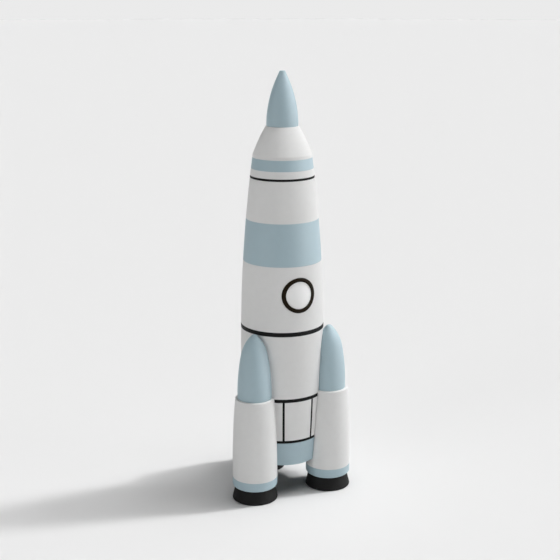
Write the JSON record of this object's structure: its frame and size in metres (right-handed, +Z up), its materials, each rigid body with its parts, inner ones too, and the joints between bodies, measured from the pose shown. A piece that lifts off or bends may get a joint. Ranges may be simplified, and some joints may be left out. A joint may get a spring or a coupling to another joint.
{
  "type": "model rocket",
  "caption": "Barrel-bodied model rocket that stands on side boosters, with a pull-off nose section over a parachute bay, a motor tube with swing clips, and launch lugs.",
  "frame": {"origin": "centre of the motor tube's mouth, 32.5 mm above the ground that the feet stand on", "axes": "+Z up along the body to the nose tip, -Y towards the porthole, +Y through the rear booster"},
  "size_m": [0.1016, 0.0928, 0.3363],
  "materials": {
    "white_plastic": "satin",
    "blue_plastic": "satin",
    "black_plastic": "satin",
    "foot_rubber": "matte",
    "dark_bezel": "satin",
    "steel": "brushed",
    "brass": "turned",
    "card_tube": "matte",
    "plywood": "matte",
    "chute_cloth": "matte"
  },
  "bodies": {
    "airframe": {"top_ring": "black_plastic", "upper_shell": "white_plastic", "body_band": "blue_plastic", "window_shell": "white_plastic", "porthole_bezel": "dark_bezel", "porthole_pane": "white_plastic", "porthole_clip": "steel", "mid_ring": "black_plastic", "lower_shell": "white_plastic", "bay_ring": "black_plastic", "engine_bay_shell": "white_plastic", "seam_strips": "black_plastic", "tail_ring": "black_plastic", "tail_band": "blue_plastic", "recovery_tube": "card_tube", "forward_centering_ring": "plywood", "mid_centering_ring": "plywood", "ejection_baffle": "steel", "recovery_chute": "chute_cloth", "motor_tube": "card_tube", "thrust_ring": "plywood", "motor_centering_ring": "plywood", "tail_plate": "black_plastic", "clip_screws": "steel", "launch_lug_upper": "white_plastic", "launch_lug_lower": "white_plastic", "booster_nose_1": "blue_plastic", "booster_nose_2": "blue_plastic", "booster_nose_3": "blue_plastic", "booster_shell_1": "white_plastic", "booster_shell_2": "white_plastic", "booster_shell_3": "white_plastic", "booster_band_1": "blue_plastic", "booster_band_2": "blue_plastic", "booster_band_3": "blue_plastic", "booster_foot_1": "foot_rubber", "booster_foot_2": "foot_rubber", "booster_foot_3": "foot_rubber", "booster_plate_1": "plywood", "booster_plate_2": "plywood", "booster_plate_3": "plywood", "booster_screws": "steel", "foot_screws": "steel"},
    "nose_section": {"nose_cone": "blue_plastic", "nose_shroud": "white_plastic", "nose_band": "blue_plastic", "nose_collar": "white_plastic", "nose_bulkhead": "plywood", "nose_eyelet": "steel", "eyelet_nut": "steel", "nose_weight": "brass", "nose_weight_screw": "steel"},
    "clip_1": {"motor_clip_1": "steel"},
    "clip_2": {"motor_clip_2": "steel"},
    "clip_3": {"motor_clip_3": "steel"}
  },
  "joints": [
    {"name": "nose_section_lift", "type": "slide", "parent": "airframe", "child": "nose_section", "axis": [0, 0, 1], "range_m": [0, 0.06]},
    {"name": "motor_clip_1_swing", "type": "hinge", "parent": "airframe", "child": "clip_1", "pos_m": [0.01645, 0.0095, -0.001], "axis": [0, 0, 1], "range_deg": [0, 90]},
    {"name": "motor_clip_2_swing", "type": "hinge", "parent": "airframe", "child": "clip_2", "pos_m": [-0.01645, 0.0095, -0.001], "axis": [0, 0, 1], "range_deg": [0, 90]},
    {"name": "motor_clip_3_swing", "type": "hinge", "parent": "airframe", "child": "clip_3", "pos_m": [0, -0.019, -0.001], "axis": [0, 0, 1], "range_deg": [0, 90]}
  ]
}
